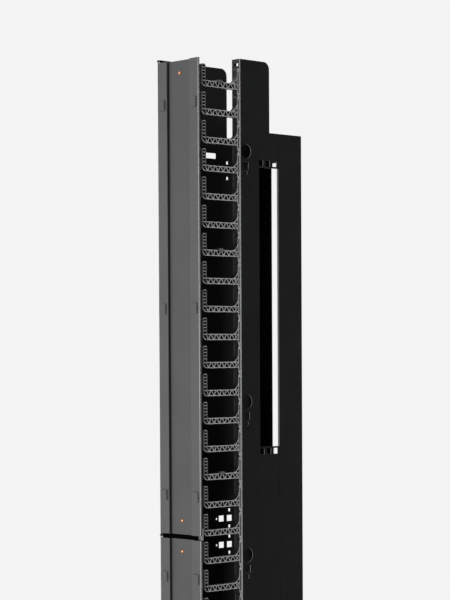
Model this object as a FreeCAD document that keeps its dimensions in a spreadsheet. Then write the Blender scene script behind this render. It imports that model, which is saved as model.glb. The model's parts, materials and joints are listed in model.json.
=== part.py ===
import FreeCAD, Part
import math
import os
import re
import Sketcher

# Vertical cable manager for a row of equipment racks, in millimetres.
# X runs from the plain left wall to the finger side, Y from the covers to the back, Z up.
# The origin is the centre of the foot of the bounding box.

DRIVING = {
    # Duct
    "ductWidth": 101.5, "ductDepth": 230, "topDepth": 155, "topZone": 114, "topCornerRadius": 12,
    "sheetWall": 1.5, "rackUnit": 44.45, "wallSetback": 3, "leftRearFlange": 31, "rightRearFlange": 14,
    # Covers
    "tallCoverUnits": 17, "shortCoverUnits": 8, "coverTopGap": 5.5, "coverGap": 7.6, "coverBottomGap": 12.4,
    "coverLeftGap": 3.2, "coverRightGap": 2.4, "coverSheet": 1.2, "wingWidth": 22, "coverRecess": 5,
    "bendRadius": 0.8, "edgeRadius": 2, "liftTabWidth": 10, "liftTabReach": 2, "liftTabRoot": 12,
    "liftTabClearance": 0.8,
    # Clips on the cover's wings
    "tabProud": 2.8, "tabWidth": 13.3, "tabHeight": 16.5, "tabRadius": 1, "tongueDepth": 12,
    "tongueWidth": 1.6, "tongueHeight": 9, "firstTab": 69, "middleTab": 394.5, "lastTab": 62,
    # Push buttons and latch slides
    "buttonTopInset": 20, "buttonBottomInset": 22, "buttonRadius": 3.1, "buttonDome": 3, "buttonTravel": 1.8,
    "collarRadius": 4.5, "collarDepth": 1, "footWidth": 4, "footDepth": 5.9, "footHeight": 4, "footTip": 0.5,
    "housingWidth": 42, "housingHeight": 24, "housingDepth": 10, "housingWall": 1.5,
    "slideSetback": 4.6, "slideSheet": 2, "slideHeight": 10, "slideStart": 12, "noseGap": 0.8,
    "springThickness": 0.3, "springWidth": 14, "springHeight": 5, "springRise": 1.8,
    # Hinges
    "pinRadius": 1.2, "pinBite": 10, "runningClearance": 0.08, "earThickness": 2, "earReach": 3,
    "bracketSheet": 1.5, "legSetback": 8, "legDepth": 20, "legHeight": 20, "washerRadius": 2.6,
    # Post and finger seats
    "postSetback": 88, "postWidth": 18.8, "postLip": 10, "hookSlotWidth": 10.3, "hookSlotHeight": 4.4,
    "hookSlotInset": 3.2, "firstHookSlot": 9,
    # Fingers
    "fingerWidth": 8.8, "fingerInset": 0.8, "fingerSetback": 6, "firstBeam": 40.6, "beamHeight": 9.8,
    "headRise": 25.6, "uprightDepth": 8.5, "rimThickness": 1.4, "webThickness": 1.8, "cornerRadius": 7.8,
    "headRadius": 2.5, "flareRadius": 14, "baseDepth": 5, "baseWall": 1.5, "baseRise": 25.2, "baseDrop": 18.8,
    "baseTaper": 3, "grooveRise": 19.5, "grooveDrop": 14, "ribWidth": 1.8, "latticeStart": 11.5,
    "latticePitch": 11.45, "latticeCount": 5, "rungWidth": 1.2, "firstRung": 4.4, "rungPitch": 5,
    "rungCount": 4, "hookWidth": 5.4, "hookThickness": 2, "hookDrop": 3,
    # Marker clips on some fingers
    "markerSetback": 40, "markerLength": 12, "markerRise": 3, "markerWall": 0.6, "markerSkirt": 1.8,
    # Right side panels
    "seamSetback": 175, "seamGap": 0.4, "slotSetback": 131, "slotTop": 171, "slotLength": 453, "slotLip": 4,
    "squareHole": 9.5, "squarePitch": 15.4, "squareMargin": 7.6, "holeSetback": 101.5, "cableHole": 23,
    "cageHole": 12, "cageDrop": 23, "boltHole": 7, "boltDrop": 35, "upperHoles": 147, "midHoles": 550,
    "innerHoles": 798,
    # Left wall cut-outs
    "tieSetback": 147, "tiePitch": 18.5, "tieWidth": 12, "tieHeight": 10, "tieGroup": 769, "tieSpread": 44,
    "tieSquare": 5, "tieSquareDrop": 13.5, "tieHole": 4, "tieHoleSetback": 127,
    "entrySetback": 107, "entryWidth": 23, "entryHeight": 9, "entryDrop": 145.5, "anchorSetback": 155.5,
    "anchorDrop": 168, "anchorSpread": 25.5,
    # Cross members, splices and rivets
    "crossHeight": 36, "crossLeg": 14, "crossSheet": 1.5, "endCross": 136, "slotCross": 665,
    "spliceHalf": 14, "spliceHeight": 26, "rivetRadius": 2, "rivetHead": 3.4, "rivetHeadHeight": 1.2,
    "rivetSpread": 18, "fitClearance": 0.3,
}

DERIVED = {
    "rightFace": "ductWidth / 2",
    "leftFace": "-ductWidth / 2",
    "front": "(tabProud - ductDepth) / 2",
    "rear": "front + ductDepth",
    "topRear": "front + topDepth",
    "units": "2 * tallCoverUnits + shortCoverUnits",
    "ductHeight": "coverTopGap + units * rackUnit + 2 * coverGap + coverBottomGap",
    "stepLevel": "ductHeight - topZone",
    "upperTop": "ductHeight - coverTopGap",
    "upperBottom": "upperTop - tallCoverUnits * rackUnit",
    "middleTop": "upperBottom - coverGap",
    "middleBottom": "middleTop - shortCoverUnits * rackUnit",
    "lowerTop": "middleBottom - coverGap",
    "lowerBottom": "lowerTop - tallCoverUnits * rackUnit",
    "coverLeft": "leftFace + coverLeftGap",
    "coverRight": "rightFace - coverRightGap",
    "coverMiddle": "(coverLeft + coverRight) / 2",
    "grooveLeft": "coverLeft + wingWidth",
    "grooveRight": "coverRight - wingWidth",
    "recessFront": "front + coverRecess",
    "recessRear": "recessFront + coverSheet",
    "pinAcross": "coverLeft + edgeRadius",
    "pinBack": "front + edgeRadius",
    "leftInside": "leftFace + sheetWall",
    "rightInside": "rightFace - sheetWall",
    "postFront": "front + postSetback",
    "fingerRight": "rightFace - fingerInset",
    "fingerMiddle": "fingerRight - fingerWidth / 2",
    "fingerFront": "front + fingerSetback",
    "fingerBack": "fingerFront + uprightDepth",
    "baseFront": "postFront - baseDepth",
    "seam": "front + seamSetback",
    "rearPanelFront": "seam + seamGap",
    "slotFront": "front + slotSetback",
    "flangeFront": "rear - sheetWall",
    "bendOuter": "bendRadius + sheetWall",
}

doc = FreeCAD.newDocument("CableManager")
sheet = doc.addObject("Spreadsheet::Sheet", "Sizes")
for row, (alias, size) in enumerate(DRIVING.items(), start=1):
    sheet.set("A%d" % row, alias)
    sheet.set("B%d" % row, str(size))
    sheet.setAlias("B%d" % row, alias)
doc.recompute()


def bound(text):
    """Spell an expression out in cells of the sheet."""
    def cell(match):
        word = match.group(0)
        if word in DERIVED:
            return "(" + bound(DERIVED[word]) + ")"
        return "Sizes." + word if word in DRIVING else word
    return re.sub(r"[A-Za-z]\w*", cell, str(text))


def value(text):
    return float(sheet.evalExpression(bound(text)))


def tie(thing, path, text):
    thing.setExpression(path, bound(text))


def new_body(label):
    body = doc.addObject("PartDesign::Body", label)
    body.Label = label
    return body


def sketch_on(body, role, offset="0", name="Sketch"):
    """A sketch parallel to one of the body's own origin planes."""
    sketch = body.newObject("Sketcher::SketchObject", name)
    plane = [item for item in body.Origin.OriginFeatures if item.Role == role][0]
    sketch.AttachmentSupport = [(plane, "")]
    sketch.MapMode = "FlatFace"
    tie(sketch, "AttachmentOffset.Base.z", offset)
    return sketch


def pin_point(sketch, item, end, across, up):
    """Hold one point of a sketch at two bound distances from its origin."""
    for kind, text in (("DistanceX", across), ("DistanceY", up)):
        number = sketch.addConstraint(Sketcher.Constraint(kind, -1, 1, item, end, value(text)))
        sketch.setExpression("Constraints[%d]" % number, bound(text))


def sign(number):
    return (number > 1e-9) - (number < -1e-9)


def outline(sketch, corners):
    """Close a loop through corners (across, up), or (across, up, radius) at a rounded square corner."""
    count = len(corners)
    places = [(value(corner[0]), value(corner[1])) for corner in corners]
    arrive, leave, arcs = [], [], {}
    for index, corner in enumerate(corners):
        across, up = corner[0], corner[1]
        if len(corner) == 2:
            arrive.append((across, up))
            leave.append((across, up))
            continue
        before, here, after = places[index - 1], places[index], places[(index + 1) % count]
        into = (sign(here[0] - before[0]), sign(here[1] - before[1]))
        out = (sign(after[0] - here[0]), sign(after[1] - here[1]))
        radius = corner[2]
        start = ("%s - %d * (%s)" % (across, into[0], radius), "%s - %d * (%s)" % (up, into[1], radius))
        end = ("%s + %d * (%s)" % (across, out[0], radius), "%s + %d * (%s)" % (up, out[1], radius))
        middle = ("%s + %d * (%s)" % (across, out[0] - into[0], radius),
                  "%s + %d * (%s)" % (up, out[1] - into[1], radius))
        arrive.append(start)
        leave.append(end)
        turns_left = into[0] * out[1] - into[1] * out[0] > 0
        arcs[index] = (start, end, middle, turns_left, radius)
    lines = []
    for index in range(count):
        after = (index + 1) % count
        ends = [FreeCAD.Vector(value(point[0]), value(point[1]), 0) for point in (leave[index], arrive[after])]
        lines.append(sketch.addGeometry(Part.LineSegment(*ends), False))
    for index, line in enumerate(lines):
        after = (index + 1) % count
        pin_point(sketch, line, 1, *leave[index])
        if after not in arcs:
            sketch.addConstraint(Sketcher.Constraint("Coincident", line, 2, lines[after], 1))
            continue
        pin_point(sketch, line, 2, *arrive[after])
        start, end, middle, turns_left, radius = arcs[after]
        centre = FreeCAD.Vector(value(middle[0]), value(middle[1]), 0)
        first, last = (start, end) if turns_left else (end, start)
        angles = [math.atan2(value(point[1]) - centre.y, value(point[0]) - centre.x) for point in (first, last)]
        if angles[1] < angles[0]:
            angles[1] += 2 * math.pi
        circle = Part.Circle(centre, FreeCAD.Vector(0, 0, 1), value(radius))
        arc = sketch.addGeometry(Part.ArcOfCircle(circle, *angles), False)
        arc_start, arc_end = (1, 2) if turns_left else (2, 1)
        sketch.addConstraint(Sketcher.Constraint("Coincident", line, 2, arc, arc_start))
        sketch.addConstraint(Sketcher.Constraint("Coincident", arc, arc_end, lines[after], 1))
        number = sketch.addConstraint(Sketcher.Constraint("DistanceX", -1, 1, arc, 3, centre.x))
        sketch.setExpression("Constraints[%d]" % number, bound(middle[0]))


def rectangle(sketch, left, right, low, high):
    outline(sketch, [(left, low), (right, low), (right, high), (left, high)])


def centred(sketch, across, up, width, height):
    rectangle(sketch, "%s - %s / 2" % (across, width), "%s + %s / 2" % (across, width),
              "%s - %s / 2" % (up, height), "%s + %s / 2" % (up, height))


def circle(sketch, across, up, radius):
    centre = FreeCAD.Vector(value(across), value(up), 0)
    item = sketch.addGeometry(Part.Circle(centre, FreeCAD.Vector(0, 0, 1), value(radius)), False)
    pin_point(sketch, item, 3, across, up)
    number = sketch.addConstraint(Sketcher.Constraint("Radius", item, value(radius)))
    sketch.setExpression("Constraints[%d]" % number, bound(radius))


def pad(body, sketch, length, both_ways=False, backwards=False):
    feature = body.newObject("PartDesign::Pad", "Pad")
    feature.Profile = sketch
    feature.SideType = "Symmetric" if both_ways else "One side"
    feature.Reversed = backwards
    tie(feature, "Length", length)
    return feature


def pocket(body, sketch, length):
    """Cut both ways from the sketch, and stop if the cut removes nothing."""
    doc.recompute()
    before = body.Shape.Volume
    feature = body.newObject("PartDesign::Pocket", "Pocket")
    feature.Profile = sketch
    feature.SideType = "Symmetric"
    tie(feature, "Length", length)
    doc.recompute()
    if body.Shape.Volume > before - 1e-3:
        raise RuntimeError(body.Label + ": a pocket cut nothing")
    return feature


def repeat(body, features, role, count, pitch, backwards=False):
    """Repeat features along an origin axis, or the whole body so far where features is None."""
    pattern = body.newObject("PartDesign::LinearPattern", "Pattern")
    axis = [item for item in body.Origin.OriginFeatures if item.Role == role][0]
    if features is None:
        pattern.TransformMode = "Whole shape"
    else:
        pattern.Originals = features
    pattern.Direction = (axis, [""])
    pattern.Reversed = backwards
    pattern.Mode = "Spacing"
    tie(pattern, "Offset", pitch)
    tie(pattern, "Occurrences", count)
    body.Tip = pattern
    return pattern


def revolve(body, sketch, across):
    """Turn a sketch about an upright construction line at the given distance."""
    foot, head = FreeCAD.Vector(value(across), 0, 0), FreeCAD.Vector(value(across), 1, 0)
    line = sketch.addGeometry(Part.LineSegment(foot, head), True)
    pin_point(sketch, line, 1, across, "0")
    pin_point(sketch, line, 2, across, "1")
    feature = body.newObject("PartDesign::Revolution", "Revolution")
    feature.Profile = sketch
    feature.ReferenceAxis = (sketch, ["Axis0"])
    feature.Angle = 360
    return feature


def block(name, across, back, up):
    """A box between two bound limits along each axis."""
    box = doc.addObject("Part::Box", name)
    limits = (("Length", "x", across), ("Width", "y", back), ("Height", "z", up))
    for size, axis, (low, high) in limits:
        tie(box, size, "(%s) - (%s)" % (high, low))
        tie(box, "Placement.Base." + axis, low)
    return box


def join(label, kind, pieces):
    """A fusion, or a cut of the first piece by the rest, under its node's name."""
    if kind == "cut":
        result = doc.addObject("Part::Cut", label)
        result.Base = pieces[0]
        if len(pieces) == 2:
            result.Tool = pieces[1]
        else:
            tools = doc.addObject("Part::MultiFuse", label + "_tools")
            tools.Shapes = pieces[1:]
            result.Tool = tools
    else:
        result = doc.addObject("Part::MultiFuse", label)
        result.Shapes = pieces
    result.Label = label
    return result


def mirrored(text):
    """A distance below the top, as levels from both ends of the duct."""
    return ["ductHeight - %s" % text, text]


# Levels shared by the cross members, the splices and their rivets
CROSS_LEVELS = ["ductHeight - endCross", "ductHeight - slotCross", "ductHeight / 2", "slotCross", "endCross"]
HINGE_LEVELS = ["upperTop + coverGap / 2", "upperBottom - coverGap / 2",
                "middleBottom - coverGap / 2", "lowerBottom - coverGap / 2"]
HOLE_LEVELS = mirrored("upperHoles") + mirrored("midHoles") + mirrored("innerHoles")
SLOT_FOOTS = ["ductHeight - slotTop - slotLength", "slotTop"]


def hinge_rivets():
    """Places of the hinge brackets' rivets on the left wall, as (back, up)."""
    places = []
    for index, level in enumerate(HINGE_LEVELS):
        rise = "-" if index == 0 else "+"
        for share in ("1/4", "3/4"):
            places.append(("front + legSetback + legDepth * %s" % share,
                           "%s %s legHeight * 0.6" % (level, rise)))
    return places


def cross_rivets():
    """Places of the cross members' rivets on the rear flanges, as (across, up)."""
    return [(across, "%s %s rivetSpread / 2" % (level, way))
            for level in CROSS_LEVELS
            for across in ("leftFace + leftRearFlange / 2 + sheetWall", "rightInside - rightRearFlange / 2")
            for way in "+-"]


def splice_rivets():
    """Places of the splice plates' rivets on the right side, as (back, up)."""
    return [("seam %s spliceHalf * 0.6" % side, "%s %s spliceHeight * 0.3" % (level, way))
            for level in CROSS_LEVELS for side in "+-" for way in "+-"]


def make_left_wall():
    """Stepped side sheet with a rear flange and cut-outs for cable ties."""
    body = new_body("left_side_wall")
    side = sketch_on(body, "YZ_Plane", "leftFace")
    edge = "rear - bendOuter"
    outline(side, [("front + wallSetback", "0"), (edge, "0"), (edge, "stepLevel"), ("topRear", "stepLevel"),
                   ("topRear", "ductHeight", "topCornerRadius"), ("front + wallSetback", "ductHeight")])
    pad(body, side, "sheetWall")
    flange = sketch_on(body, "XY_Plane")
    arm = "rear - 2 * bendOuter"
    outline(flange, [("leftFace", arm), ("leftInside", arm), ("leftInside", "flangeFront", "bendRadius"),
                     ("leftFace + leftRearFlange", "flangeFront"), ("leftFace + leftRearFlange", "rear"),
                     ("leftFace", "rear", "bendOuter")])
    pad(body, flange, "stepLevel")
    cuts = sketch_on(body, "YZ_Plane", "leftFace + sheetWall / 2")
    for level in mirrored("anchorDrop"):
        for way in "+-":
            centred(cuts, "front + anchorSetback", "%s %s anchorSpread / 2" % (level, way),
                    "tieSquare", "tieSquare")
    for level in mirrored("entryDrop"):
        rectangle(cuts, "front + entrySetback", "front + entrySetback + entryWidth",
                  "%s - entryHeight / 2" % level, "%s + entryHeight / 2" % level)
    for level in mirrored("tieGroup"):
        for way in "+-":
            middle = "%s %s tieSpread / 2" % (level, way)
            for across in ("front + tieSetback - tiePitch / 2", "front + tieSetback + tiePitch / 2"):
                centred(cuts, across, middle, "tieWidth", "tieHeight")
            for drop in "+-":
                centred(cuts, "front + tieSetback + tiePitch / 2", "%s %s tieSquareDrop" % (middle, drop),
                        "tieSquare", "tieSquare")
            circle(cuts, "front + tieHoleSetback", middle, "tieHole / 2")
    for back, up in hinge_rivets():
        circle(cuts, back, up, "rivetRadius")
    pocket(body, cuts, "2 * sheetWall")
    rivet_holes = sketch_on(body, "XZ_Plane", "-(rear - sheetWall / 2)")
    for across, up in cross_rivets():
        if value(across) < 0:
            circle(rivet_holes, across, up, "rivetRadius")
    pocket(body, rivet_holes, "2 * sheetWall")
    return body


def make_front_panel():
    """Right side sheet from the finger post to the seam."""
    body = new_body("right_front_panel")
    side = sketch_on(body, "YZ_Plane", "rightInside")
    edge = "postFront + bendOuter"
    outline(side, [(edge, "0"), ("seam", "0"), ("seam", "stepLevel"), ("topRear", "stepLevel"),
                   ("topRear", "ductHeight", "topCornerRadius"), (edge, "ductHeight")])
    pad(body, side, "sheetWall")
    post = sketch_on(body, "XY_Plane")
    post_left, back, arm = "rightFace - postWidth", "postFront + sheetWall", "postFront + 2 * bendOuter"
    outline(post, [("rightFace", "postFront", "bendOuter"), ("rightFace", arm), ("rightInside", arm),
                   ("rightInside", back, "bendRadius"), (post_left + " + sheetWall", back, "bendRadius"),
                   (post_left + " + sheetWall", "postFront + postLip"), (post_left, "postFront + postLip"),
                   (post_left, "postFront", "bendOuter")])
    pad(body, post, "ductHeight")
    cuts = sketch_on(body, "YZ_Plane", "rightFace - sheetWall / 2")
    for foot in SLOT_FOOTS:
        rectangle(cuts, "slotFront", "seam + sheetWall", foot, "%s + slotLength" % foot)
        for level in ("%s - squareMargin" % foot, "%s + slotLength + squareMargin" % foot):
            for step in range(3):
                centred(cuts, "slotFront + squareHole / 2 + %d * squarePitch" % step, level,
                        "squareHole", "squareHole")
    for level in HOLE_LEVELS:
        circle(cuts, "front + holeSetback", level, "cableHole / 2")
        centred(cuts, "front + holeSetback", "%s - cageDrop" % level, "cageHole", "cageHole")
        circle(cuts, "front + holeSetback", "%s - boltDrop" % level, "boltHole / 2")
    for back, up in splice_rivets():
        if value(back) < value("seam"):
            circle(cuts, back, up, "rivetRadius")
    pocket(body, cuts, "2 * sheetWall")
    seat = sketch_on(body, "XZ_Plane", "-(postFront + sheetWall / 2)")
    centred(seat, "rightFace - hookSlotInset - hookSlotWidth / 2", "ductHeight - firstHookSlot",
            "hookSlotWidth", "hookSlotHeight")
    hook_slot = pocket(body, seat, "2 * sheetWall")
    repeat(body, [hook_slot], "Z_Axis", "units + 1", "rackUnit", backwards=True)
    return body


def make_rear_panel():
    """Right side sheet behind the seam, with a rear flange and a lip along each cable slot."""
    body = new_body("right_rear_panel")
    plan = sketch_on(body, "XY_Plane")
    outline(plan, [("rightInside", "rearPanelFront"), ("rightFace", "rearPanelFront"),
                   ("rightFace", "rear", "bendOuter"), ("rightFace - rightRearFlange", "rear"),
                   ("rightFace - rightRearFlange", "flangeFront"), ("rightInside", "flangeFront", "bendRadius")])
    pad(body, plan, "stepLevel")
    for foot in SLOT_FOOTS:
        lip = sketch_on(body, "XY_Plane", foot)
        rectangle(lip, "rightFace - slotLip", "rightInside", "rearPanelFront", "rearPanelFront + sheetWall")
        pad(body, lip, "slotLength")
    rivet_holes = sketch_on(body, "XZ_Plane", "-(rear - sheetWall / 2)")
    for across, up in cross_rivets():
        if value(across) > 0:
            circle(rivet_holes, across, up, "rivetRadius")
    pocket(body, rivet_holes, "2 * sheetWall")
    cuts = sketch_on(body, "YZ_Plane", "rightFace - sheetWall / 2")
    for back, up in splice_rivets():
        if value(back) > value("seam"):
            circle(cuts, back, up, "rivetRadius")
    pocket(body, cuts, "2 * sheetWall")
    return body


def make_cross_member(index, level):
    """Channel that ties the two side sheets together at the back."""
    body = new_body("rear_cross_member_%d" % index)
    side = sketch_on(body, "YZ_Plane", "leftInside + fitClearance")
    low, high = "%s - crossHeight / 2" % level, "%s + crossHeight / 2" % level
    leg = "flangeFront - crossLeg"
    inner = "flangeFront - crossSheet"
    outline(side, [("flangeFront", low), ("flangeFront", high), (leg, high), (leg, "%s - crossSheet" % high),
                   (inner, "%s - crossSheet" % high), (inner, "%s + crossSheet" % low),
                   (leg, "%s + crossSheet" % low), (leg, low)])
    pad(body, side, "rightInside - leftInside - 2 * fitClearance")
    holes = sketch_on(body, "XZ_Plane", "-(flangeFront - crossSheet / 2)")
    for across, up in cross_rivets():
        if abs(value(up) - value(level)) < value("crossHeight"):
            circle(holes, across, up, "rivetRadius")
    pocket(body, holes, "2 * crossSheet")
    return body


def make_splices():
    """Plates behind the seam that hold the two right side sheets flush."""
    body = new_body("seam_splice_plates")
    side = sketch_on(body, "YZ_Plane", "rightInside - sheetWall")
    for level in CROSS_LEVELS:
        centred(side, "seam", level, "2 * spliceHalf", "spliceHeight")
    pad(body, side, "sheetWall")
    holes = sketch_on(body, "YZ_Plane", "rightInside - sheetWall / 2")
    for back, up in splice_rivets():
        circle(holes, back, up, "rivetRadius")
    pocket(body, holes, "2 * sheetWall")
    return body


def make_rivets(label, role, outer, inner, inward, places):
    """Rivets that lie flush outside and have their heads inside."""
    body = new_body(label)
    shanks = sketch_on(body, role, outer)
    for across, up in places:
        circle(shanks, across, up, "rivetRadius")
    pad(body, shanks, inner, backwards=inward)
    heads = sketch_on(body, role, "%s %s %s" % (outer, "-" if inward else "+", "(%s)" % inner))
    for across, up in places:
        circle(heads, across, up, "rivetHead")
    pad(body, heads, "rivetHeadHeight", backwards=inward)
    return body


def make_rib(body, corners):
    """A rib across the whole width of a finger, from its corners (back, up)."""
    sketch = sketch_on(body, "YZ_Plane", "fingerMiddle", "Rib")
    outline(sketch, corners)
    return pad(body, sketch, "fingerWidth", both_ways=True)


def make_fingers(label, first, count):
    """One moulded finger per rack unit: rims round a thin web, ribs on both its faces, a hooked foot."""
    body = new_body(label)
    beam = "ductHeight - firstBeam - %d * rackUnit" % first
    under, head = "%s - beamHeight" % beam, "%s + headRise" % beam
    base_top, base_foot = "%s + baseRise" % beam, "%s - baseDrop" % beam
    groove_top, groove_foot = "%s + grooveRise" % beam, "%s - grooveDrop" % beam
    rim = sketch_on(body, "YZ_Plane", "fingerMiddle", "Rim")
    outline(rim, [("fingerFront", under, "cornerRadius"), ("fingerFront", head, "headRadius"),
                  ("fingerBack", head, "headRadius"), ("fingerBack", beam), ("baseFront", beam, "flareRadius"),
                  ("baseFront", "%s - baseTaper" % base_top), ("baseFront + baseWall", base_top),
                  ("postFront", base_top), ("postFront", base_foot), ("baseFront + baseWall", base_foot),
                  ("baseFront", "%s + baseTaper" % base_foot), ("baseFront", under)])
    low, top = "%s + rimThickness" % under, "%s - rimThickness" % beam
    left, right = "fingerFront + rimThickness", "fingerBack - rimThickness"
    outline(rim, [(left, low, "cornerRadius - rimThickness"), (left, top), ("baseFront", top),
                  ("baseFront", low)])
    rectangle(rim, left, right, beam, "%s - rimThickness" % head)
    rectangle(rim, "baseFront + baseWall", "postFront - baseWall", groove_foot, groove_top)
    # The flare's strip keeps the rim's thickness at its middle, and leaves this corner open behind it
    leg = "(2 * flareRadius - (flareRadius + rimThickness) * sqrt(2))"
    outline(rim, [("baseFront - " + leg, beam), ("baseFront", beam), ("baseFront", "%s + %s" % (beam, leg))])
    pad(body, rim, "fingerWidth", both_ways=True)
    # The web ends inside the rims
    web = sketch_on(body, "YZ_Plane", "fingerMiddle", "Web")
    front, back = "fingerFront + rimThickness / 2", "fingerBack - rimThickness / 2"
    wall = "baseFront + baseWall / 2"
    crown, shelf = "%s - rimThickness / 2" % head, "%s - rimThickness / 2" % beam
    ceiling, floor = "%s + baseWall / 2" % groove_top, "%s - baseWall / 2" % groove_foot
    outline(web, [(front, "%s + rimThickness / 2" % under, "cornerRadius - rimThickness / 2"), (front, crown),
                  (back, crown), (back, shelf), ("baseFront - rimThickness - " + leg, shelf),
                  (wall, "%s + %s + (baseWall + rimThickness) / 2" % (beam, leg)), (wall, ceiling),
                  ("postFront - baseWall / 2", ceiling), ("postFront - baseWall / 2", floor), (wall, floor),
                  (wall, "%s + rimThickness / 2" % under)])
    pad(body, web, "webThickness", both_ways=True)
    # The lattice's ribs reach a third of the rim's thickness into the rims
    low, top = "%s - rimThickness / 3" % low, "%s + rimThickness / 3" % top
    start, pitch = "front + latticeStart", "latticePitch"
    apex = "%s + ((%s) - (%s)) * ribWidth / (%s - ribWidth)" % (low, top, low, pitch)
    pair = make_rib(body, [(start, top), (start + " + ribWidth", top), ("%s + %s / 2" % (start, pitch), apex),
                           ("%s + %s - ribWidth" % (start, pitch), top), ("%s + %s" % (start, pitch), top),
                           ("%s + %s / 2 + ribWidth / 2" % (start, pitch), low),
                           ("%s + %s / 2 - ribWidth / 2" % (start, pitch), low)])
    repeat(body, [pair], "Y_Axis", "latticeCount", pitch)
    last = "%s + latticeCount * %s" % (start, pitch)
    near, far = "%s + %s / 2 - ribWidth / 2" % (last, pitch), "baseFront + baseWall / 3"
    make_rib(body, [(last + " - ribWidth / 2", top), (last + " + ribWidth / 2", top),
                    (near + " + ribWidth", low), (near, low)])
    make_rib(body, [(near, low), (near + " + ribWidth", low), (far, top), (far + " - ribWidth", top)])
    make_rib(body, [(near, top), (near + " + ribWidth", top), (far, low), (far + " - ribWidth", low)])
    tread, rise = "%s + firstRung" % beam, "%s + firstRung + rungWidth" % beam
    rung = make_rib(body, [(front, tread), (back, tread), (back, rise), (front, rise)])
    repeat(body, [rung], "Z_Axis", "rungCount", "rungPitch")
    hook = sketch_on(body, "YZ_Plane", "rightFace - hookSlotInset - fitClearance - hookWidth / 2", "Hook")
    tongue_top = "%s - firstHookSlot + hookThickness / 2 + firstBeam - rackUnit" % beam
    tongue_low = "%s - hookThickness" % tongue_top
    behind = "postFront + sheetWall + fitClearance"
    outline(hook, [("postFront - rimThickness", tongue_top), ("%s + sheetWall" % behind, tongue_top),
                   ("%s + sheetWall" % behind, "%s - hookDrop" % tongue_low),
                   (behind, "%s - hookDrop" % tongue_low), (behind, tongue_low),
                   ("postFront - rimThickness", tongue_low)])
    pad(body, hook, "hookWidth", both_ways=True)
    repeat(body, None, "Z_Axis", count, "rackUnit", backwards=True)
    return body


def lower_copy(label, body, drop):
    """The same solids again, further down."""
    link = doc.addObject("App::Link", label)
    link.LinkedObject = body
    link.Label = label
    tie(link, "Placement.Base.z", "-(%s)" % drop)
    return link


def make_marker_clips():
    """Peaked saddles that snap over the beams of every sixth and eighth finger in turn."""
    body = new_body("finger_marker_clips")
    beam = "ductHeight - firstBeam"
    near, far = "front + markerSetback", "front + markerSetback + markerLength"
    side = sketch_on(body, "YZ_Plane", "fingerMiddle")
    outline(side, [(near, "%s - markerSkirt" % beam), (far, "%s - markerSkirt" % beam),
                   (far, "%s + markerRise / 2" % beam),
                   ("%s - markerLength / 3" % far, "%s + markerRise" % beam),
                   ("%s + markerLength / 3" % near, "%s + markerRise" % beam),
                   (near, "%s + markerRise / 2" % beam)])
    pad(body, side, "fingerWidth + 2 * markerWall + fitClearance", both_ways=True)
    channel = sketch_on(body, "XZ_Plane", "-(%s + markerLength / 2)" % near)
    rectangle(channel, "fingerMiddle - fingerWidth / 2 - fitClearance / 2",
              "fingerMiddle + fingerWidth / 2 + fitClearance / 2",
              "%s - 2 * markerSkirt" % beam, "%s + fitClearance" % beam)
    pocket(body, channel, "2 * markerLength")
    repeat(body, None, "Z_Axis", "2", "6 * rackUnit", backwards=True)
    repeat(body, None, "Z_Axis", "3", "14 * rackUnit", backwards=True)
    return body


def make_hinge_bracket(index, level):
    """Angle on the left wall whose ear carries a hinge pin between two covers."""
    name = "hinge_bracket_%d" % (index + 1)
    low, high = "%s - earThickness / 2" % level, "%s + earThickness / 2" % level
    leg_ends = ("%s - legHeight" % high, high) if index == 0 else (low, "%s + legHeight" % low)
    ear = block(name + "_ear", ("leftInside", "pinAcross + earReach"),
                ("front", "front + legSetback + legDepth"), (low, high))
    leg = block(name + "_leg", ("leftInside", "leftInside + bracketSheet"),
                ("front + legSetback", "front + legSetback + legDepth"), leg_ends)
    holes = [drill(name + "_pin_hole", "Z", "pinAcross", "pinBack", low, "earThickness",
                   "pinRadius + runningClearance")]
    for number, (back, up) in enumerate(hinge_rivets()[2 * index:2 * index + 2]):
        holes.append(drill("%s_rivet_hole_%d" % (name, number), "X", "leftInside", back, up, "bracketSheet",
                           "rivetRadius"))
    angle = join(name + "_angle", "fuse", [ear, leg])
    return join(name, "cut", [angle] + holes)


def drill(name, axis, across, back, up, depth, radius):
    """A round tool along X or Z, from the given point."""
    tool = doc.addObject("Part::Cylinder", name)
    tie(tool, "Radius", radius)
    tie(tool, "Height", depth)
    if axis == "X":
        tool.Placement.Rotation = FreeCAD.Rotation(FreeCAD.Vector(0, 1, 0), 90)
    for key, text in (("x", across), ("y", back), ("z", up)):
        tie(tool, "Placement.Base." + key, text)
    return tool


def make_hinge_pins():
    """Pins through the ears, each reaching into the rolled edges of its covers."""
    body = new_body("hinge_pins")
    for index, level in enumerate(HINGE_LEVELS):
        low = "%s - coverGap / 2 - pinBite" % level if index < 3 else "%s - earThickness / 2" % level
        high = "%s + coverGap / 2 + pinBite" % level if index > 0 else "%s + earThickness / 2" % level
        plan = sketch_on(body, "XY_Plane", low)
        circle(plan, "pinAcross", "pinBack", "pinRadius")
        pad(body, plan, "(%s) - (%s)" % (high, low))
    return body


def make_hinge_washers():
    """Washers on the ears that carry each cover's rolled edge."""
    body = new_body("hinge_washers")
    for level in HINGE_LEVELS[1:]:
        plan = sketch_on(body, "XY_Plane", "%s + earThickness / 2" % level)
        circle(plan, "pinAcross", "pinBack", "washerRadius")
        circle(plan, "pinAcross", "pinBack", "pinRadius + runningClearance")
        pad(body, plan, "coverGap / 2 - earThickness / 2 - fitClearance")
    return body


def tab_levels(top, bottom, tall):
    if tall:
        return ["%s - firstTab" % top, "%s - middleTab" % top, "%s + lastTab" % bottom]
    return ["%s - lastTab" % top, "%s + lastTab" % bottom]


WING_MIDDLES = ["coverLeft + wingWidth / 2", "coverRight - wingWidth / 2"]


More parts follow.
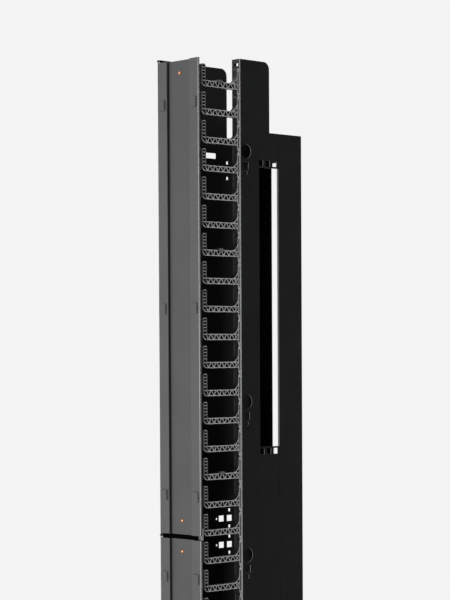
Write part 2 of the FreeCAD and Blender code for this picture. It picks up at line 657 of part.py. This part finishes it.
def make_cover(name, top, bottom, tall, lift_tab):
    """Rolled sheet cover: two proud wings either side of a recessed face, and rolled edges for the pins."""
    body = new_body(name + "_panel")
    plan = sketch_on(body, "XY_Plane", bottom)
    outer, inner = "bendRadius + coverSheet", "bendRadius"
    edge_left, edge_right = "coverLeft + edgeRadius", "coverRight - edgeRadius"
    back = "front + coverSheet"
    outline(plan, [(edge_left, "front"), ("grooveLeft", "front", outer), ("grooveLeft", "recessFront", inner),
                   ("grooveRight", "recessFront", inner), ("grooveRight", "front", outer),
                   (edge_right, "front"), (edge_right, back), ("grooveRight + coverSheet", back, inner),
                   ("grooveRight + coverSheet", "recessRear", outer),
                   ("grooveLeft - coverSheet", "recessRear", outer), ("grooveLeft - coverSheet", back, inner),
                   (edge_left, back)])
    length = "(%s) - (%s)" % (top, bottom)
    pad(body, plan, length)
    rolls = sketch_on(body, "XY_Plane", bottom)
    for edge in (edge_left, edge_right):
        circle(rolls, edge, "pinBack", "edgeRadius")
    pad(body, rolls, length)
    bores = sketch_on(body, "XY_Plane", "(%s + %s) / 2" % (top, bottom))
    for edge in (edge_left, edge_right):
        circle(bores, edge, "pinBack", "pinRadius + runningClearance")
    pocket(body, bores, "%s + coverGap" % length)
    holes = sketch_on(body, "XZ_Plane", "-(recessFront + coverSheet / 2)")
    for level in ("%s - buttonTopInset" % top, "%s + buttonBottomInset" % bottom):
        circle(holes, "coverMiddle", level, "buttonRadius + runningClearance")
    pocket(body, holes, "2 * coverSheet")
    slots = sketch_on(body, "XZ_Plane", "-(front + coverSheet / 2)")
    for across in WING_MIDDLES:
        for level in tab_levels(top, bottom, tall):
            centred(slots, across, level, "(tongueWidth + fitClearance)", "(tongueHeight + fitClearance)")
    pocket(body, slots, "2 * coverSheet")
    if lift_tab:
        tab = sketch_on(body, "XZ_Plane", "-(pinBack + edgeRadius)")
        rectangle(tab, "coverRight - liftTabWidth + liftTabReach", "coverRight + liftTabReach",
                  "%s - coverGap + liftTabClearance" % bottom, "%s + liftTabRoot" % bottom)
        pad(body, tab, "coverSheet")
    return body


def make_clips(name, top, bottom, tall):
    """Moulded clips on the wings: a raised tab in front and a tongue that reaches beside a finger."""
    body = new_body(name + "_clips")
    tabs = sketch_on(body, "XZ_Plane", "-(front)")
    tongues = sketch_on(body, "XZ_Plane", "-(front)")
    for across in WING_MIDDLES:
        for level in tab_levels(top, bottom, tall):
            left, right = "%s - tabWidth / 2" % across, "%s + tabWidth / 2" % across
            low, high = "%s - tabHeight / 2" % level, "%s + tabHeight / 2" % level
            outline(tabs, [(left, low, "tabRadius"), (right, low, "tabRadius"),
                           (right, high, "tabRadius"), (left, high, "tabRadius")])
            centred(tongues, across, level, "tongueWidth", "tongueHeight")
    pad(body, tabs, "tabProud")
    pad(body, tongues, "tongueDepth", backwards=True)
    return body


def make_housings(name, levels):
    """Open trays behind the recessed face that guide the buttons and their slides."""
    trays = []
    deep = "recessRear + housingDepth"
    for number, level in enumerate(levels):
        part = "%s_tray_%d" % (name, number)
        half_width = "housingWidth / 2"
        foot, head = "%s - housingHeight / 2" % level, "%s + housingHeight / 2" % level
        shell = block(part + "_shell", ("coverMiddle - " + half_width, "coverMiddle + " + half_width),
                      ("recessRear", deep), (foot, head))
        room = block(part + "_room", ("coverMiddle - %s + housingWall" % half_width,
                                      "coverMiddle + %s - housingWall" % half_width),
                     ("recessRear", deep + " - housingWall"),
                     (foot + " + housingWall", head + " - housingWall"))
        gate = block(part + "_gate", ("coverMiddle", "coverMiddle + housingWidth"),
                     ("recessFront + slideSetback - fitClearance",
                      "recessFront + slideSetback + slideSheet + fitClearance"),
                     ("%s - slideHeight / 2 - fitClearance" % level,
                      "%s + slideHeight / 2 + fitClearance" % level))
        trays.append(join(part, "cut", [shell, room, gate]))
    return join(name + "_latch_housings", "fuse", trays)


def make_button(name, level):
    """Domed push button with a collar behind the sheet and a wedge foot."""
    body = new_body(name)
    half = sketch_on(body, "XY_Plane", level)
    tip = "recessFront - buttonDome"
    seat = "recessRear + fitClearance"
    outline(half, [("coverMiddle", tip), ("coverMiddle + buttonRadius", tip, "buttonDome"),
                   ("coverMiddle + buttonRadius", seat), ("coverMiddle + collarRadius", seat),
                   ("coverMiddle + collarRadius", "%s + collarDepth" % seat),
                   ("coverMiddle", "%s + collarDepth" % seat)])
    revolve(body, half, "coverMiddle")
    wedge = sketch_on(body, "XY_Plane", level)
    back = "%s + collarDepth - fitClearance" % seat
    end = "%s + collarDepth + footDepth - buttonTravel / 2" % seat
    ramp = "coverMiddle + footWidth / 2 - footTip"
    slope = "footWidth - footTip"
    outline(wedge, [("coverMiddle - footWidth / 2", back), ("coverMiddle + footWidth / 2", back),
                    ("coverMiddle + footWidth / 2", end), (ramp, end),
                    ("coverMiddle - footWidth / 2", "%s - (%s)" % (end, slope))])
    pad(body, wedge, "footHeight", both_ways=True)
    return body


def make_slide(name, level):
    """Flat latch slide: its chamfered window rides on the button's wedge, its nose meets a finger."""
    body = new_body(name)
    plan = sketch_on(body, "XY_Plane", level)
    near, far = "recessFront + slideSetback", "recessFront + slideSetback + slideSheet"
    nose = "fingerRight - fingerWidth - noseGap"
    outline(plan, [("coverMiddle - slideStart", near), ("%s - slideSheet / 2" % nose, near), (nose, far),
                   ("coverMiddle - slideStart", far)])
    pad(body, plan, "slideHeight", both_ways=True)
    window = sketch_on(body, "XY_Plane", level)
    # The wedge's ramp runs at 45 degrees, so the window's end is that line moved off by the clearance
    seat_end = "recessRear + fitClearance + collarDepth + footDepth - buttonTravel / 2"
    shift = "coverMiddle + footWidth / 2 - footTip - (%s) - fitClearance * sqrt(2)" % seat_end
    right = "coverMiddle + footWidth / 2 + 2 * buttonTravel"
    above, below = "%s - slideSheet / 2" % near, "%s + slideSheet / 2" % far
    outline(window, [("%s + %s" % (shift, above), above), (right, above), (right, below),
                     ("%s + %s" % (shift, below), below)])
    pocket(body, window, "footHeight + 2 * fitClearance")
    return body


def make_spring(name, level):
    """Bowed leaf between the foot of the button and the back of its housing."""
    body = new_body(name)
    plan = sketch_on(body, "XY_Plane", level)
    seat = "recessRear + housingDepth - housingWall"
    crown = "%s - springRise" % seat
    left, right = "coverMiddle - springWidth / 2", "coverMiddle + springWidth / 2"
    outline(plan, [(left, "%s - springThickness" % seat), (left, seat), ("%s + springRise" % left, seat),
                   ("coverMiddle - springRise", "%s + springThickness" % crown),
                   ("coverMiddle + springRise", "%s + springThickness" % crown),
                   ("%s - springRise" % right, seat), (right, seat), (right, "%s - springThickness" % seat),
                   ("%s - springRise" % right, "%s - springThickness" % seat),
                   ("coverMiddle + springRise", crown), ("coverMiddle - springRise", crown),
                   ("%s + springRise" % left, "%s - springThickness" % seat)])
    pad(body, plan, "springHeight", both_ways=True)
    return body


def make_cover_set(name, top, bottom, tall, lift_tab):
    levels = ["%s - buttonTopInset" % top, "%s + buttonBottomInset" % bottom]
    pieces = [make_cover(name, top, bottom, tall, lift_tab), make_clips(name, top, bottom, tall),
              make_housings(name, levels)]
    for end, level in zip(("top", "bottom"), levels):
        pieces.append(make_button("%s_%s_button" % (name, end), level))
        pieces.append(make_slide("%s_%s_slide" % (name, end), level))
        pieces.append(make_spring("%s_%s_spring" % (name, end), level))
    return pieces


nodes = [make_left_wall(), make_front_panel(), make_rear_panel(), make_splices()]
nodes += [make_cross_member(index + 1, level) for index, level in enumerate(CROSS_LEVELS)]
nodes.append(make_rivets("splice_rivets", "YZ_Plane", "rightFace", "2 * sheetWall", True, splice_rivets()))
nodes.append(make_rivets("cross_member_rivets", "XZ_Plane", "-(rear)", "sheetWall + crossSheet", False,
                         cross_rivets()))
nodes.append(make_rivets("hinge_rivets", "YZ_Plane", "leftFace", "sheetWall + bracketSheet", False,
                         hinge_rivets()))
total, groups, drawn = int(round(value("units"))), 6, {}
for group in range(groups):
    first, after = round(group * total / groups), round((group + 1) * total / groups)
    label, count = "cable_fingers_%d_to_%d" % (first + 1, after), after - first
    if count in drawn:
        body, above = drawn[count]
        nodes.append(lower_copy(label, body, "%d * rackUnit" % (first - above)))
    else:
        nodes.append(make_fingers(label, first, count))
        drawn[count] = nodes[-1], first
nodes.append(make_marker_clips())
nodes += [make_hinge_bracket(index, level) for index, level in enumerate(HINGE_LEVELS)]
nodes += [make_hinge_pins(), make_hinge_washers()]
nodes += make_cover_set("upper_cover", "upperTop", "upperBottom", True, True)
nodes += make_cover_set("middle_cover", "middleTop", "middleBottom", False, True)
nodes += make_cover_set("lower_cover", "lowerTop", "lowerBottom", True, False)
doc.recompute()

for thing in doc.Objects:
    if {"Invalid", "Error"} & set(thing.State):
        raise RuntimeError("%s failed to build: %s" % (thing.Label, thing.State))
os.makedirs("parts", exist_ok=True)
for node in nodes:
    shape = Part.getShape(node)
    if shape.isNull() or not shape.isValid() or not shape.Solids:
        raise RuntimeError(node.Label + " is not a valid solid")
    shape.exportStep("parts/%s.step" % node.Label)
    print("%-28s solids %2d  volume %9.1f" % (node.Label, len(shape.Solids), shape.Volume))
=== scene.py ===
import json
import math

import bpy
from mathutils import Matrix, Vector


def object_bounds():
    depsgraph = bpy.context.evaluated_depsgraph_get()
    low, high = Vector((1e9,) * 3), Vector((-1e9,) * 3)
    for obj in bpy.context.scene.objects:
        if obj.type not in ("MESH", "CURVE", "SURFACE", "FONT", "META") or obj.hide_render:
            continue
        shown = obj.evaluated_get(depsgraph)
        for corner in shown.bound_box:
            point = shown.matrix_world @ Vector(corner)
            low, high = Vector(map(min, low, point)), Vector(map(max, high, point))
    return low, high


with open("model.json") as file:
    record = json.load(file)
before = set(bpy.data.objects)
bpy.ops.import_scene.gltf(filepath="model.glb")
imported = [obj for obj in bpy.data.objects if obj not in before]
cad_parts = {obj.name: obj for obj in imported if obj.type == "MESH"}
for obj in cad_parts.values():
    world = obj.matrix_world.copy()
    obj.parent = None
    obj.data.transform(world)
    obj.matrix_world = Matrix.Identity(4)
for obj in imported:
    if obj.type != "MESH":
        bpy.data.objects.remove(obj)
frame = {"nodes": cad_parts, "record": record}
cadLow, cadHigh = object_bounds()
nodes = frame["nodes"]
print("frame loaded:", len(nodes), "nodes")


class Wire:
    # a shader socket that takes part in plain arithmetic
    def __init__(self, finish, socket):
        self.finish = finish
        self.socket = socket

    def combine(self, operation, first, second):
        return self.finish.node("ShaderNodeMath", {"operation": operation}, {0: first, 1: second})

    def __add__(self, other):
        return self.combine("ADD", self, other)

    def __radd__(self, other):
        return self.combine("ADD", other, self)

    def __sub__(self, other):
        return self.combine("SUBTRACT", self, other)

    def __mul__(self, other):
        return self.combine("MULTIPLY", self, other)

    def __gt__(self, other):
        return self.combine("GREATER_THAN", self, other)

    def __lt__(self, other):
        return self.combine("LESS_THAN", self, other)

    def __or__(self, other):
        return self.combine("MAXIMUM", self, other)


class Finish:
    # one procedural material or world; node() is the only way in which its nodes are made
    def __init__(self, owner):
        self.owner = owner
        owner.use_nodes = True
        self.tree = owner.node_tree
        self.tree.nodes.clear()

    def node(self, kind, settings=None, sockets=None, output=0):
        made = self.tree.nodes.new(kind)
        for key, setting in (settings or {}).items():
            if key == "stops":
                self.setStops(made.color_ramp, setting)
            else:
                setattr(made, key, setting)
        for key, given in (sockets or {}).items():
            if isinstance(given, Wire):
                self.tree.links.new(given.socket, made.inputs[key])
            else:
                made.inputs[key].default_value = given
        return Wire(self, made.outputs[output]) if made.outputs else made

    def setStops(self, ramp, stops):
        for element, (place, level) in zip(ramp.elements, stops):
            element.position = place
            element.color = (level, level, level, 1)

    def spread(self, source, low, high):
        # a ramp that stretches the middle of a noise to the full range
        return self.node("ShaderNodeValToRGB", {"stops": [(low, 0), (high, 1)]}, {"Fac": source})

    def noise(self, scale, detail=2, stretch=(1, 1, 1)):
        where = self.node("ShaderNodeTexCoord", output=3)
        where = self.node("ShaderNodeMapping", sockets={"Vector": where, "Scale": stretch})
        return self.node("ShaderNodeTexNoise",
                         sockets={"Vector": where, "Scale": scale, "Detail": detail})

    def blend(self, share, first, second):
        return self.node("ShaderNodeMix", {"data_type": "RGBA"},
                         {0: share, 6: first, 7: second}, output=2)

    def tint(self, share, colour, factor):
        # scales a colour where the share is 1
        return self.node("ShaderNodeMix", {"data_type": "RGBA", "blend_type": "MULTIPLY"},
                         {0: share, 6: colour, 7: grey(factor)}, output=2)

    def bump(self, height, distance):
        return self.node("ShaderNodeBump", sockets={"Height": height, "Distance": distance})

    def axis(self, name):
        # one coordinate of the piece, in metres
        where = self.node("ShaderNodeTexCoord", output=3)
        return self.node("ShaderNodeSeparateXYZ", sockets={"Vector": where},
                         output="XYZ".index(name))

    def inside(self, zone):
        # 1 within the zone's bounds
        share = 1
        for name in ("X", "Y", "Z"):
            if name in zone:
                low, high = zone[name]
                share = (self.axis(name) > low) * (self.axis(name) < high) * share
        return share

    def surface(self, sockets):
        shader = self.node("ShaderNodeBsdfPrincipled", sockets=sockets)
        self.node("ShaderNodeOutputMaterial", sockets={"Surface": shader})
        return self.owner


def newFinish(name):
    return Finish(bpy.data.materials.new(name))


def grey(level, cast=0):
    # a grey with a slight blue cast
    return (level * (1 - cast), level, level * (1 + cast), 1)


print("making finishes")
# A zone is a box of a piece, bounded along some axes in metres. In it "colour" scales the base
# colour to paint shade or a highlight there, and "rough" is added to the roughness.
coverPaint = {"light": 0.168, "dark": 0.155, "cast": 0.01, "roughness": 0.42, "specular": 0.3,
              "grain": 1400, "grainHeight": 0.00002,
              "zones": [{"X": (-0.0249, 0.0262), "colour": 0.84},  # painted shade on the recessed face
                        {"X": (-0.0263, -0.0249), "colour": 0.12},  # painted shade deep in the left groove
                        {"X": (0.0466, 0.0480), "colour": 3.4},  # painted highlight on the front of the rolled edge
                        {"X": (0.0480, 0.0486), "colour": 0.3}]}  # painted shade on its flank
sheetPaint = {"light": 0.0098, "dark": 0.0078, "cast": 0.04, "roughness": 0.65, "specular": 0.03,
              "grain": 1600, "grainHeight": 0.00003, "zones": []}
# painted highlight on the cut edges of the side panel's holes
cutEdgeHighlight = {"X": (0.0494, 0.0506), "Y": (-0.022, 0.0610), "colour": 35}
# painted highlight on the post's rounded front corner
postCornerHighlight = {"X": (0.0494, 0.0506), "Y": (-0.0260, -0.022), "colour": 5}
# painted light on the post's front face
postFaceLight = {"Y": (-0.0258, -0.0238), "colour": 11}
# the black sheet paint with the painted highlights and light above
postPaintWithPaintedLight = {**sheetPaint, "zones": [cutEdgeHighlight, postCornerHighlight, postFaceLight]}
slotSpans = ((0.172, 0.624), (1.276, 1.728))
# the black sheet paint with a painted highlight on the rear lip of each slot
lipPaintWithPaintedHighlight = {**sheetPaint,
            "zones": [{"X": (0.0466, 0.0506), "Y": (0.0616, 0.0634), "Z": span, "colour": 30}
                      for span in slotSpans]}
fingerPlastic = {"light": 0.036, "dark": 0.028, "cast": 0.02, "roughness": 0.3, "specular": 0.4,
                 "grain": 700, "grainHeight": 0.000006,
                 "zones": [{"Y": (-0.1080, -0.1060), "rough": 0.35},  # textured rails of the ladder
                           {"Y": (-0.1008, -0.0991), "rough": 0.35}]}
markerPlastic = {"light": 0.020, "dark": 0.016, "cast": 0.02, "roughness": 0.5, "specular": 0.3,
                 "grain": 900, "grainHeight": 0.00001, "zones": []}
latchPlastic = {"light": 0.017, "dark": 0.013, "cast": 0, "roughness": 0.48, "specular": 0.35,
                "grain": 900, "grainHeight": 0.00001, "zones": []}
paintUnevenness = {"cloudScale": 11, "cloudDetail": 4, "cloudRange": (0.35, 0.65),
                   "glossScale": 60, "glossDetail": 3, "glossSwing": 0.14}


def paintedFinish(name, look):
    # powder coat or moulded plastic: faint clouds of tone and gloss over a fine grain
    finish = newFinish(name)
    uneven = paintUnevenness
    clouds = finish.spread(finish.noise(uneven["cloudScale"], uneven["cloudDetail"]),
                           *uneven["cloudRange"])
    grain = finish.noise(look["grain"])
    colour = finish.blend(clouds, grey(look["dark"], look["cast"]),
                          grey(look["light"], look["cast"]))
    gloss = finish.noise(uneven["glossScale"], uneven["glossDetail"]) - 0.5
    rough = look["roughness"] + gloss * uneven["glossSwing"]
    # colour zones paint shade and highlights onto the base colour; rough zones change only the
    # roughness
    for zone in look["zones"]:
        share = finish.inside(zone)
        if "colour" in zone:
            colour = finish.tint(share, colour, zone["colour"])
        if "rough" in zone:
            rough = rough + share * zone["rough"]
    normal = finish.bump(grain, look["grainHeight"])
    return finish.surface({"Base Color": colour, "Roughness": rough, "Normal": normal,
                           "Specular IOR Level": look["specular"]})


zincPlate = {"dark": 0.42, "light": 0.56, "cast": 0.02, "crystalScale": 900, "lineScale": 2500,
             "lineStretch": (0.08, 1, 1), "roughness": 0.26, "crystalRough": 0.12,
             "lineRough": 0.08, "lineHeight": 0.000004}


def zincFinish(look):
    # zinc plate: small blurred crystals and drawn lines
    finish = newFinish("zincPlate")
    where = finish.node("ShaderNodeTexCoord", output=3)
    crystals = finish.node("ShaderNodeTexVoronoi",
                           sockets={"Vector": where, "Scale": look["crystalScale"]})
    lines = finish.noise(look["lineScale"], stretch=look["lineStretch"])
    colour = finish.blend(crystals, grey(look["dark"], look["cast"]),
                          grey(look["light"], look["cast"]))
    rough = look["roughness"] + crystals * look["crystalRough"] + lines * look["lineRough"]
    return finish.surface({"Base Color": colour, "Roughness": rough, "Metallic": 1.0,
                           "Normal": finish.bump(lines, look["lineHeight"])})


copperDome = {"bright": (0.78, 0.36, 0.20, 1), "dull": (0.60, 0.25, 0.13, 1),
              "patchScale": 420, "patchDetail": 4, "patchRange": (0.4, 0.7),
              "roughness": 0.2, "patchRough": 0.16, "grain": 1800, "grainHeight": 0.000004}


def copperFinish(look):
    # lacquered copper: warm and bright, a little duller in patches
    finish = newFinish("copperDome")
    patches = finish.spread(finish.noise(look["patchScale"], look["patchDetail"]),
                            *look["patchRange"])
    colour = finish.blend(patches, look["bright"], look["dull"])
    rough = look["roughness"] + patches * look["patchRough"]
    grain = finish.noise(look["grain"])
    return finish.surface({"Base Color": colour, "Roughness": rough, "Metallic": 1.0,
                           "Normal": finish.bump(grain, look["grainHeight"])})


slotFinishes = {
    "cover_grey": paintedFinish("coverPaint", coverPaint),
    "black_steel": paintedFinish("sheetPaint", sheetPaint),
    "finger_plastic": paintedFinish("fingerPlastic", fingerPlastic),
    "marker_plastic": paintedFinish("markerPlastic", markerPlastic),
    "latch_plastic": paintedFinish("latchPlastic", latchPlastic),
    "zinc_steel": zincFinish(zincPlate),
    "button_copper": copperFinish(copperDome),
}
nodeSlots = {part["node"]: part["material_slot"] for part in frame["record"]["subparts"]}
ownFinishes = {"right_front_panel": paintedFinish("postPaintWithPaintedLight", postPaintWithPaintedLight),
               "right_rear_panel": paintedFinish("lipPaintWithPaintedHighlight", lipPaintWithPaintedHighlight)}

print("softening edges")
edgeRadii = {"cover_grey": 0.00030, "black_steel": 0.00025, "finger_plastic": 0.0004,
             "marker_plastic": 0.0002, "latch_plastic": 0.0002, "zinc_steel": 0.0001,
             "button_copper": 0.0001}
softening = {"weldReach": 0.000002, "segments": 2, "sharpFrom": 40}


def softenEdges(piece, radius):
    # the small radius that paint and moulding leave on every edge catches the light
    weld = piece.modifiers.new("weld", "WELD")
    weld.merge_threshold = softening["weldReach"]
    bevel = piece.modifiers.new("edgeRadius", "BEVEL")
    bevel.width = radius
    bevel.segments = softening["segments"]
    bevel.loop_slide = False  # sliding would throw spikes at the ends of the bends
    bevel.limit_method = "ANGLE"
    bevel.angle_limit = math.radians(softening["sharpFrom"])
    bevel.harden_normals = True


for name, piece in nodes.items():
    slot = nodeSlots[name]
    piece.data.materials.clear()
    piece.data.materials.append(ownFinishes.get(name, slotFinishes[slot]))
    softenEdges(piece, edgeRadii[slot])

print("setting the stage")
studio = {"floorSize": 120, "floorDrop": 0.0005, "floorShade": 0.8, "floorMottle": 0.97,
          "floorRough": 0.9, "floorSpecular": 0.1, "nearGlow": 0.8, "fadeStart": 1, "fadeEnd": 6,
          "backShade": 0.9, "ambient": 0.15}


def raysSeen(finish):
    # 1 for rays that show the studio itself: from the camera, in gloss and through clear pieces
    return (finish.node("ShaderNodeLightPath", output="Is Camera Ray")
            | finish.node("ShaderNodeLightPath", output="Is Glossy Ray")
            | finish.node("ShaderNodeLightPath", output="Is Transmission Ray"))


def floorFinish():
    # pale paint that keeps the object's shadow and fades into an even glow further out
    finish = newFinish("floorPaint")
    shade = studio["floorShade"]
    tone = finish.blend(finish.noise(3), grey(shade * studio["floorMottle"]), grey(shade))
    paint = finish.node("ShaderNodeBsdfPrincipled",
                        sockets={"Base Color": tone, "Roughness": studio["floorRough"],
                                 "Specular IOR Level": studio["floorSpecular"]})
    glow = finish.node("ShaderNodeEmission", sockets={"Color": grey(studio["backShade"])})
    across, along = finish.axis("X"), finish.axis("Y")
    far = finish.node("ShaderNodeMapRange",
                      sockets={"Value": across * across + along * along,
                               "From Min": studio["fadeStart"] ** 2,
                               "From Max": studio["fadeEnd"] ** 2,
                               "To Min": studio["nearGlow"], "To Max": 1})
    mix = finish.node("ShaderNodeMixShader", sockets={0: raysSeen(finish) * far, 1: paint, 2: glow})
    finish.node("ShaderNodeOutputMaterial", sockets={"Surface": mix})
    return finish.owner


bpy.ops.mesh.primitive_plane_add(size=studio["floorSize"],
                                 location=(0, 0, cadLow.z - studio["floorDrop"]))
floor = bpy.context.object
floor.name = "floor"
floor.data.materials.append(floorFinish())


def lightWorld():
    # pale to the eye and in reflections, dim as a light
    world = bpy.data.worlds.new("studio")
    bpy.context.scene.world = world
    finish = Finish(world)
    dim = finish.node("ShaderNodeBackground",
                      sockets={"Color": grey(1), "Strength": studio["ambient"]})
    pale = finish.node("ShaderNodeBackground", sockets={"Color": grey(studio["backShade"])})
    mix = finish.node("ShaderNodeMixShader", sockets={0: raysSeen(finish), 1: dim, 2: pale})
    finish.node("ShaderNodeOutputWorld", sockets={"Surface": mix})


lightWorld()
lamps = {
    "key": {"from": (0.95, -3.7, 1.3), "to": (0, -0.1, 1.25), "size": (1.0, 2.2), "power": 50},
    "fill": {"from": (-1.8, -3.4, 1.2), "to": (0, -0.1, 1.15), "size": (1.6, 2.2), "power": 11},
    # reflected towards the camera by the flat side panel
    "side": {"from": (1.95, 1.8, 1.45), "to": (0.05, 0, 1.45), "size": (0.5, 2.0), "power": 34},
    "rim": {"from": (1.7, 1.6, 4.0), "to": (0.05, 0, 1.5), "size": (0.8, 0.8), "power": 18},
    "left": {"from": (-3.2, 0.6, 1.5), "to": (0, 0, 1.0), "size": (1.4, 1.8), "power": 25},
    "back": {"from": (-1.6, 2.8, 1.9), "to": (0, 0, 1.0), "size": (1.6, 1.6), "power": 25},
}
for name, lamp in lamps.items():
    light = bpy.data.lights.new(name, "AREA")
    light.shape = "RECTANGLE"
    light.size, light.size_y = lamp["size"]
    light.energy = lamp["power"]
    holder = bpy.data.objects.new(name, light)
    bpy.context.scene.collection.objects.link(holder)
    holder.location = lamp["from"]
    aim = Vector(lamp["to"]) - Vector(lamp["from"])
    holder.rotation_euler = aim.to_track_quat("-Z", "Y").to_euler()

print("placing the camera")
# angles in degrees, lens and sensor in millimetres; a tilt of 0 looks level
view = {"place": (2.3289, -2.2284, 1.4318), "turn": 46.426, "tilt": -1.694, "roll": 0.304,
        "lens": 118.16, "sensor": 36, "lift": 0.1824}
cameraData = bpy.data.cameras.new("camera")
cameraData.lens = view["lens"]
cameraData.sensor_width = view["sensor"]
cameraData.shift_y = view["lift"]
camera = bpy.data.objects.new("camera", cameraData)
bpy.context.scene.collection.objects.link(camera)
camera.location = view["place"]
camera.rotation_euler = [math.radians(angle)
                         for angle in (90 + view["tilt"], view["roll"], view["turn"])]
bpy.context.scene.camera = camera
bpy.context.scene.view_settings.view_transform = "Standard"
